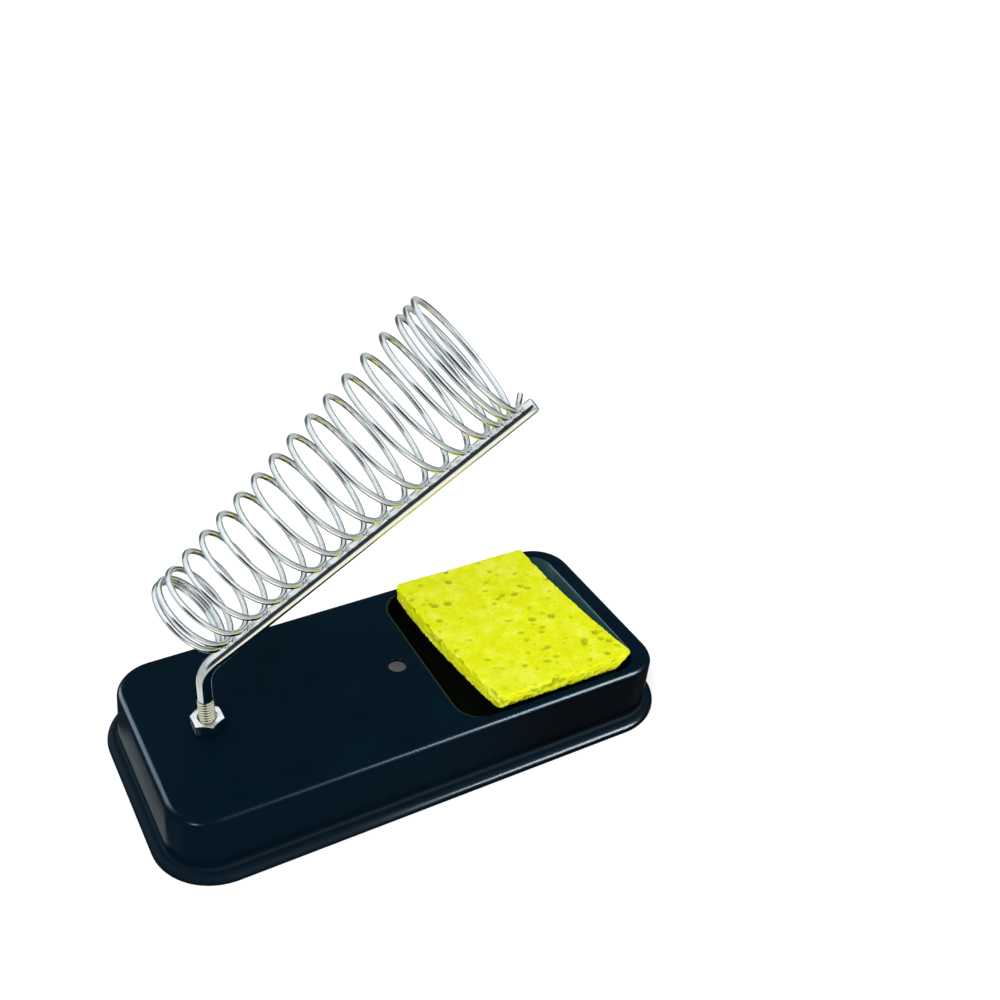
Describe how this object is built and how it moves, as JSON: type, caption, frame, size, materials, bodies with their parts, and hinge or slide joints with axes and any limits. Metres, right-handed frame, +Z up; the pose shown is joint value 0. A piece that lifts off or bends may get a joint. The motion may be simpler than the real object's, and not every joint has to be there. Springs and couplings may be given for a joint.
{
  "type": "soldering iron stand",
  "caption": "Bench stand for a soldering iron: tapered wire coil holder on a bent threaded rod, clamped to a pressed steel base with a sunken sponge tray.",
  "frame": {"origin": "on the table, under the middle of the base", "axes": "+Z up, +X along the base from the rod towards the sponge, +Y to the left of +X"},
  "size_m": [0.135, 0.0654, 0.1204],
  "materials": {
    "black_paint": "glossy blue-black baked enamel",
    "yellow_sponge": "matte open-pored cellulose sponge",
    "bright_rod": "bright plated steel",
    "bright_wire": "bright plated steel wire",
    "zinc_plate": "satin zinc plate"
  },
  "bodies": {
    "base": {"base_tray": "black_paint"},
    "holder": {"support_rod": "bright_rod", "holder_coil": "bright_wire"},
    "upper_nut": {"upper_nut": "zinc_plate"},
    "washers": {"flat_washer": "zinc_plate", "lock_washer": "zinc_plate"},
    "lower_nut": {"lower_nut": "zinc_plate"},
    "sponge": {"sponge": "yellow_sponge"}
  },
  "joints": [
    {"name": "holder_swivel", "type": "hinge", "parent": "base", "child": "holder", "pos_m": [-0.0473, 0, 0.0156], "axis": [0, 0, 1], "continuous": true},
    {"name": "upper_nut_turn", "type": "hinge", "parent": "holder", "child": "upper_nut", "pos_m": [-0.0473, 0, 0.0178], "axis": [0, 0, 1], "continuous": true},
    {"name": "washer_drop", "type": "slide", "parent": "holder", "child": "washers", "axis": [0, 0, -1], "range_m": [0, 0.004]},
    {"name": "lower_nut_turn", "type": "hinge", "parent": "washers", "child": "lower_nut", "pos_m": [-0.0473, 0, 0.011], "axis": [0, 0, 1], "range_deg": [0, 2060]},
    {"name": "sponge_lift", "type": "slide", "parent": "base", "child": "sponge", "axis": [0, 0, 1], "range_m": [0, 0.04]}
  ],
  "couplings": [
    {"joint": "lower_nut_turn", "follows": "washer_drop", "rad_per_m": 8976}
  ]
}
